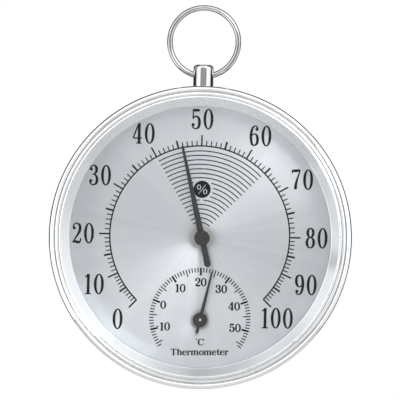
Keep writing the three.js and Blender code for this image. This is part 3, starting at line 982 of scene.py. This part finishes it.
# %% Thermometer numerals
WARM_NUMERAL_RADIUS = 12.05
WARM_FIGURE_STEP = 1.98
WARM_FIGURE_SIZE = (1.75, 2.65)
WARM_PEN = (0.26, 0.6)
MINUS_ENDS = (-2.6, -2.0)
MINUS_PEN = 0.34
figures = []
for degree in range(-10, 51, 10):
    a = math.radians((degree - TOP_DEGREE) * DEGREE_STEP)
    outwards = WARM_FIGURE_STEP / 2 if degree == 0 else 0
    at = (WARM_CENTRE[0] + WARM_NUMERAL_RADIUS * math.sin(a) - outwards,
          WARM_CENTRE[1] + WARM_NUMERAL_RADIUS * math.cos(a))
    figures += number(str(abs(degree)), *at, *WARM_FIGURE_SIZE, WARM_FIGURE_STEP, *WARM_PEN)
    if degree < 0:
        figures += ribbon([(at[0] + end, at[1], MINUS_PEN) for end in MINUS_ENDS])
fit(printed("thermometer_numerals", figures, INK_LOW, INK_HIGH, DIAL_SPACE), "case", "black_paint", ink)

# %% [markdown]
# The one word on the dial says what the small hand shows, with the sign for degrees over it. The
# letters are written with the same pen in a wide face. Their box is as high as a small letter,
# and each has its own width. The whole line was printed a little askew.

# %% Lettering
CAP = 1.42
LETTERS = {
    "T": (1.30, [[(0.62, 0, 1), (0.62, CAP, 1)], [(0.06, CAP - 0.05, 0), (1.18, CAP - 0.05, 0)],
                 [(0.36, 0.05, 0), (0.88, 0.05, 0)], [(0.09, CAP, 0.1), (0.09, CAP - 0.34, 0)],
                 [(1.15, CAP, 0.1), (1.15, CAP - 0.34, 0)]]),
    "h": (1.12, [[(0.24, 0, 1), (0.24, CAP, 1)], [(0.04, CAP - 0.05, 0), (0.24, CAP - 0.05, 0)],
                 [(0.04, 0.05, 0), (0.44, 0.05, 0)],
                 [(0.24, 0.7, 0), (0.4, 0.9, 0.1), (0.6, 0.97, 0.3), (0.78, 0.86, 0.8), (0.82, 0.6, 1),
                  (0.82, 0, 1)], [(0.62, 0.05, 0), (1.02, 0.05, 0)]]),
    "e": (0.94, [[(0.1, 0.55, 0), (0.82, 0.55, 0)],
                 [(0.82, 0.55, 0.3), (0.78, 0.82, 0.4), (0.5, 0.96, 0.1), (0.2, 0.8, 0.8), (0.12, 0.5, 1),
                  (0.2, 0.2, 0.8), (0.5, 0.04, 0.1), (0.72, 0.1, 0.1), (0.86, 0.26, 0)]]),
    "r": (0.82, [[(0.26, 0, 1), (0.26, 0.98, 1)], [(0.04, 0.93, 0), (0.26, 0.93, 0)],
                 [(0.04, 0.05, 0), (0.5, 0.05, 0)],
                 [(0.26, 0.6, 0), (0.38, 0.86, 0.1), (0.56, 0.95, 0.2), (0.7, 0.9, 0.3)],
                 ("ball", 0.67, 0.83, 1.0)]),
    "m": (1.70, [[(0.24, 0, 1), (0.24, 0.98, 1)], [(0.04, 0.93, 0), (0.24, 0.93, 0)],
                 [(0.04, 0.05, 0), (0.44, 0.05, 0)], [(0.62, 0.05, 0), (1.0, 0.05, 0)],
                 [(1.2, 0.05, 0), (1.6, 0.05, 0)],
                 [(0.24, 0.7, 0), (0.4, 0.9, 0.1), (0.58, 0.97, 0.3), (0.76, 0.86, 0.8), (0.8, 0.6, 1),
                  (0.8, 0, 1)],
                 [(0.82, 0.7, 0), (0.98, 0.9, 0.1), (1.16, 0.97, 0.3), (1.34, 0.86, 0.8), (1.38, 0.6, 1),
                  (1.38, 0, 1)]]),
    "o": (0.98, [oval(0.49, 0.5, 0.36, 0.46)]),
    "t": (0.72, [[(0.3, 1.34, 0.5), (0.3, 0.8, 1), (0.3, 0.36, 1), (0.36, 0.13, 0.5),
                  (0.47, 0.06, 0.1), (0.58, 0.09, 0), (0.67, 0.22, 0)], [(0.06, 0.93, 0), (0.6, 0.93, 0)]]),
}
WORD = "Thermometer"
WORD_CENTRE = (0.73, -38.18)
WORD_LENGTH = 19.2
WORD_TURN = 1.3
SMALL_HEIGHT = 1.5
WORD_PEN = (0.22, 0.52)
stretch = WORD_LENGTH / sum(LETTERS[c][0] for c in WORD)
pen_x = WORD_CENTRE[0] - WORD_LENGTH / 2
lettering = []
for c in WORD:
    advance, strokes = LETTERS[c]
    lettering += written(strokes, pen_x, WORD_CENTRE[1] - CAP * SMALL_HEIGHT / 2, stretch,
                         SMALL_HEIGHT, *WORD_PEN)
    pen_x += advance * stretch

BIG_C = [[(0.9, 0.7, 0.1), (0.78, 0.92, 0.1), (0.52, 0.97, 0.1), (0.22, 0.83, 0.8), (0.12, 0.5, 1),
          (0.22, 0.17, 0.8), (0.52, 0.03, 0.1), (0.78, 0.1, 0.1), (0.93, 0.32, 0)],
         [(0.93, 0.98, 0.1), (0.93, 0.68, 0.1)]]
BIG_C_CORNER = (0.14, -35.98)
BIG_C_SIZE = (2.1, 2.15)
DEGREE_RING = (-0.2, -34.0)
lettering += written(BIG_C, *BIG_C_CORNER, *BIG_C_SIZE, *WORD_PEN)
lettering += band(DEGREE_RING, 0.26, 0.15, 0, 360, 30)
askew = Matrix.Rotation(math.radians(WORD_TURN), 2)
middle_word = Vector(WORD_CENTRE)
lettering = [[tuple(middle_word + askew @ (Vector(p) - middle_word)) for p in loop]
             for loop in lettering]
fit(printed("thermometer_word", lettering, INK_LOW, INK_HIGH, DIAL_SPACE), "case", "black_paint", ink)

# %% [markdown]
# Each hand is one stamping: a round hub, a long tapering blade and a round-ended tail that
# balances it. The outline follows the engineering model's, with its front edge eased.


# %% Hands
def blade(hub, length, root, tip, tail, tail_root, tail_width):
    """The outline of a hand that points up, round its hub at 0, 0."""
    def opening(width):
        return math.degrees(math.asin(width / 2 / hub))

    loop = arc(tip / 2, 90, -90, 0, length - tip / 2, 20)
    loop += arc(hub, -opening(root), -180 + opening(tail_root), 0, 0, 5)
    loop += arc(tail_width / 2, -90, -270, 0, tail_width / 2 - tail, 12)
    loop += arc(hub, 180 - opening(tail_root), opening(root), 0, 0, 5)
    return loop


HUMIDITY_LEAN = -13.2
THERMOMETER_LEAN = 12.6
hand = stamped("humidity_hand_blade", blade(2.45, 31.3, 2.1, 0.75, 9.9, 1.8, 2.15),
               [circle(1.4, steps=48)], 14.9, 15.3, 0.08, dial_space(*HUMIDITY_HUB, HUMIDITY_LEAN))
fit(hand, "humidity_hand", "black_paint", hand_black, "humidity_pointer")
hand = stamped("thermometer_hand_blade", blade(2.45, 16.6, 1.1, 0.6, 4.6, 0.85, 1.0),
               [circle(0.55, steps=32)], 14.5, 14.8, 0.06,
               dial_space(*THERMOMETER_HUB, THERMOMETER_LEAN))
fit(hand, "thermometer_hand", "black_paint", hand_black, "thermometer_pointer")

# %% [markdown]
# A turned black cap presses the long hand on its arbor. The short hand is pushed straight on the
# polished end of its own arbor, whose domed tip shows as a bright dot. Under each hand a brass
# bush comes through the dial, and its flange shows as a thin warm edge.

# %% Cap and arbor tip
cap = turned("humidity_hand_cap", [
    (0, 15.55), (0.9, 15.55, 0.05), (0.9, 14.3, 0.05), (1.3, 14.3, 0.05), (1.3, 15.35, 0.05),
    (2.6, 15.35, 0.08), (2.6, 15.7, 0.12), (2.35, 15.95, 0.15), (0, 15.95),
], dial_space(*HUMIDITY_HUB), 96)
fit(cap, "humidity_hand", "black_paint", hand_black, "humidity_pointer_boss")
tip = turned("thermometer_arbor_tip", [
    (0, 4.8), (0.7, 4.8, 0.1), (0.7, 14.45, 0.05), (0.45, 14.45, 0.03), (0.45, 15.1, 0.12), (0, 15.2),
], dial_space(*THERMOMETER_HUB), 48)
fit(tip, "thermometer_hand", "arbor_steel", arbor_steel, "thermometer_arbor")

# %% [markdown]
# The post that carries the ring is a short chromed bar. Its foot is hollowed to sit on the round
# case, its top edge is broken, and a plain cross hole takes the ring.

# %% Post
POST_RADIUS = 3.45
POST_TOP = 57.1
POST_BORE = 1.6
BORE_ROOF = 0.7
CASE_RADIUS = 48.02
EYE_Y = 53.35
EYE_RADIUS = 1.4
post = turned("ring_post", [
    (0, 47.6), (POST_RADIUS, 47.6, 0.05), (POST_RADIUS, POST_TOP - 0.75, 0.5),
    (POST_RADIUS - 0.75, POST_TOP - 0.12, 0.5), (POST_RADIUS - 1.4, POST_TOP, 0.6), (0, POST_TOP),
], upright, 128)
bore_end = EYE_Y - EYE_RADIUS - BORE_ROOF
bore = turned("bore", [(0, 40), (POST_BORE, 40), (POST_BORE, bore_end), (0, bore_end)], upright, 48)
saddle = turned("saddle", [(0, -1), (CASE_RADIUS, -1), (CASE_RADIUS, 30), (0, 30)], DIAL_SPACE, 320)
across = upright @ Matrix.Translation((0, 0, EYE_Y * MM)) @ Matrix.Rotation(math.pi / 2, 4, "Y")
eye = turned("eye", [(0, -4), (EYE_RADIUS, -4), (EYE_RADIUS, 4), (0, 4)], across, 64)
cut_away(post, bore, saddle, eye)
fit(post, "case", "chrome", chrome, "hanger_post")

# %% [markdown]
# The ring is one length of round wire bent till its ends meet. The joint is turned down into the
# post, where it can't be seen or catch a finger.

# %% Hanging ring
RING_RADIUS = 11.35
WIRE_RADIUS = 0.95
RING_GAP = 0.4
RING_DROP = 0.2


def bent_wire(name, radius, wire, gap, place, steps=160, sides=32):
    """A round wire bent to a circle, with its ends a gap apart at the bottom."""
    half_gap = math.degrees(gap / 2 / radius)
    start = 180 + half_gap
    sweep = 360 - 2 * half_gap
    points = []
    for k in range(steps + 1):
        a = math.radians(start + sweep * k / steps)
        for i in range(sides):
            b = 2 * math.pi * i / sides
            r = radius + wire * math.cos(b)
            points.append((r * math.sin(a), r * math.cos(a), wire * math.sin(b)))
    faces = []
    for k in range(steps):
        for i in range(sides):
            j = (i + 1) % sides
            faces.append((k * sides + i, k * sides + j, (k + 1) * sides + j, (k + 1) * sides + i))
    faces.append(tuple(range(sides)))
    faces.append(tuple(range(steps * sides, (steps + 1) * sides)))
    return add_piece(name, points, faces, place)


ring_place = DIAL_SPACE @ Matrix.Translation(Vector((0, EYE_Y - RING_DROP + RING_RADIUS, POST_H)) * MM)
wire_ring = bent_wire("wire_ring", RING_RADIUS, WIRE_RADIUS, RING_GAP, ring_place)
fit(wire_ring, "hanger", "chrome", wire_nickel, "hanging_ring")

# %% [markdown]
# Everything behind the dial keeps its engineering shape and only takes a finish. It can be seen
# through the slots in the back.

# %% Finishes for the movement
FINISH_OF_SLOT = {
    "fastener_steel": screw_steel, "gasket_rubber": rubber, "black_plastic": black_plastic,
    "brass": brass, "humidity_strip": humidity_strip, "bimetal": bimetal_strip,
    "arbor_steel": arbor_steel, "chrome": chrome, "case_steel": case_finish, "lens_glass": glass,
    "reflector": reflector_finish, "dial_silver": dial_finish, "black_paint": hand_black,
}
for part in frame["record"]["subparts"]:
    node = frame["nodes"][part["node"]]
    for seat in node.material_slots:
        seat.material = FINISH_OF_SLOT[part["material_slot"]]

# %% [markdown]
# Bright metal shows what stands round it, so the studio is drawn as a sky. What is seen directly is
# plain white. Reflections see rings of light round the dial's own axis, one behind another: a dim
# patch in front, a wide ring that draws the fan on the dial, panels that the reflector and the
# bezel's slopes mirror, a patchy room beside and behind, a dark gap, and last the wall itself.
# "Slant" is the angle of a direction from the front, and "clock" is how far round it lies,
# clockwise from the top. Each list holds places round the clock and the light there. They were
# tuned step by step, till the rings on the bezel and the light and dark fan on the dial were right.

# %% Studio
world = bpy.data.worlds.new("studio")
scene.world = world
world.use_nodes = True
world.node_tree.nodes.clear()
Wire.tree = world.node_tree
x, y, z = apart(Wire.node("ShaderNodeTexCoord", out=0))
slant = (y * -1).maths("ARCCOSINE") * (180 / math.pi)
clock = (x.maths("ARCTAN2", z) / (2 * math.pi)).maths("FRACT")
FAN = [
    (0.00, 1.25), (0.125, 1.8), (0.25, 1.45), (0.33, 1.0), (0.42, 1.1), (0.50, 1.7), (0.625, 1.9),
    (0.75, 1.6), (0.83, 1.6), (0.92, 1.45), (1.0, 1.3),
]
PANELS = [
    (0.00, 0.55), (0.042, 0.7), (0.083, 1.1), (0.125, 1.25), (0.21, 1.15), (0.25, 1.05), (0.30, 0.8),
    (0.375, 0.8), (0.42, 0.75), (0.50, 0.9), (0.62, 1.1), (0.667, 0.65), (0.71, 0.8), (0.755, 0.95),
    (0.77, 0.35), (0.785, 1.0), (0.83, 1.05), (0.875, 0.8), (0.917, 0.85), (0.96, 0.55), (1.0, 0.55),
]
BEHIND = [
    (0.00, 0.5), (0.04, 0.5), (0.07, 0.03), (0.26, 0.03), (0.29, 0.65), (0.50, 0.75), (0.72, 0.65),
    (0.74, 0.03), (0.93, 0.03), (0.96, 0.5), (1.0, 0.5),
]


def round_the_clock(stops):
    """A grey level that changes with the clock angle of a direction, from 0 to 1 for a whole turn."""
    greys = [(place, (level, level, level, 1)) for place, level in stops]
    return Wire.node("ShaderNodeValToRGB", {"stops": greys}, {0: clock})


NEAR_MEAN = 27.0
NEAR_SWING = 9.0
NEAR_SOFT = 4.0
PANELS_START = (61, 67)
BEHIND_START = (78, 92)
GAP_START = (116, 126)
WALL_START = (136, 148)
DIM = (0.36, 0.36, 0.365)
DARK = (0.03, 0.03, 0.03)
WALL = (0.85, 0.85, 0.85)
near_edge = (clock * (4 * math.pi)).maths("COSINE") * -NEAR_SWING + NEAR_MEAN
away = rise(slant, near_edge - NEAR_SOFT, near_edge + NEAR_SOFT)
glow = tinted(away, DIM, round_the_clock(FAN))
glow = tinted(rise(slant, *PANELS_START), glow, round_the_clock(PANELS))
glow = tinted(rise(slant, *BEHIND_START), glow, round_the_clock(BEHIND))
glow = tinted(rise(slant, *GAP_START), glow, DARK)
glow = tinted(rise(slant, *WALL_START), glow, WALL)
seen = Wire.node("ShaderNodeLightPath")
sky = Wire.node("ShaderNodeBackground", {}, {"Color": glow, "Strength": 1.0})
white = Wire.node("ShaderNodeBackground", {}, {"Color": (1, 1, 1, 1), "Strength": 1.0})
both = Wire.node("ShaderNodeMixShader", {}, {0: seen, 1: sky, 2: white})
Wire.node("ShaderNodeOutputWorld", {}, {"Surface": both})
scene.view_settings.view_transform = "Standard"
print("studio drawn with", len(world.node_tree.nodes), "nodes")

# %% [markdown]
# Two real lamps join the sky. A lamp near the object can light one side of a flat dial more than
# the other, which a sky can't, so one hangs high on the right. A small one washes the floor, which
# keeps it pale where the case shades it.


# %% Lamps
def lamp(name, place, aim, size, power):
    """A square lamp at a place in metres, turned to face a point."""
    data = bpy.data.lights.new(name, "AREA")
    data.size = size
    data.energy = power
    holder = bpy.data.objects.new(name, data)
    scene.collection.objects.link(holder)
    holder.location = place
    holder.rotation_euler = (Vector(aim) - Vector(place)).to_track_quat("-Z", "Y").to_euler()
    return holder


FLOOR_DROP = 0.25
WASH_HEIGHT = 0.15
floor_top = cad_box[0].z - FLOOR_DROP
washed = Vector((0, -0.12, floor_top))
lamp("lamp_high", (0.56, -0.95, 0.42), CASE_CENTRE, 0.5, 2.3)
lamp("lamp_floor", washed + Vector((0, 0, WASH_HEIGHT)), washed, 0.4, 0.14)
print("lamps hung")

# %% [markdown]
# A pale floor lies below the hanging case, out of sight from the front. It is a thin round board
# with an eased edge and a faint mottle.

# %% Floor
floor_finish = new_finish("pale_floor")
mottle = speckle(own_place(), 14, 3)
coat(Base_Color=tinted(mottle, (0.88, 0.88, 0.87), (0.93, 0.93, 0.92)),
     Roughness=between(mottle, 0.55, 0.7))
floor = turned("floor_board", [(0, -12), (500, -12, 3), (500, 0, 3), (0, 0)],
               Matrix.Translation((0, 0, floor_top)), 96)
floor.data.materials.append(floor_finish)
print(floor.name)

# %% [markdown]
# The camera stands two metres off, a little to the left and above, with a long lens, as for a
# catalogue. The instrument hangs a touch askew, so the camera is rolled by that much.

# %% Camera
LENS_PLANE = 20 * MM
FRAME_WIDTH = 132 * MM
DISTANCE = 2.0
SENSOR = 36.0
ROLL = math.radians(1.3)
STAND = (-36.3 * MM, 51.3 * MM)
AIM = (-0.366 * MM, 12.315 * MM)
middle_front = CASE_CENTRE - Vector((0, LENS_PLANE, 0))
eye_point = middle_front + Vector((STAND[0], -DISTANCE, STAND[1]))
target = middle_front + Vector((AIM[0], 0, AIM[1]))
forward = (target - eye_point).normalized()
right = forward.cross(Vector((-math.sin(ROLL), 0, math.cos(ROLL)))).normalized()
above = right.cross(forward)
camera_data = bpy.data.cameras.new("camera")
camera_data.sensor_width = SENSOR
camera_data.lens = SENSOR * DISTANCE / FRAME_WIDTH
camera_data.clip_end = 20
camera = bpy.data.objects.new("camera", camera_data)
scene.collection.objects.link(camera)
axes = Matrix((right, above, -forward)).transposed().to_4x4()
camera.matrix_world = Matrix.Translation(eye_point) @ axes
scene.camera = camera
print("lens", round(camera_data.lens), "mm")
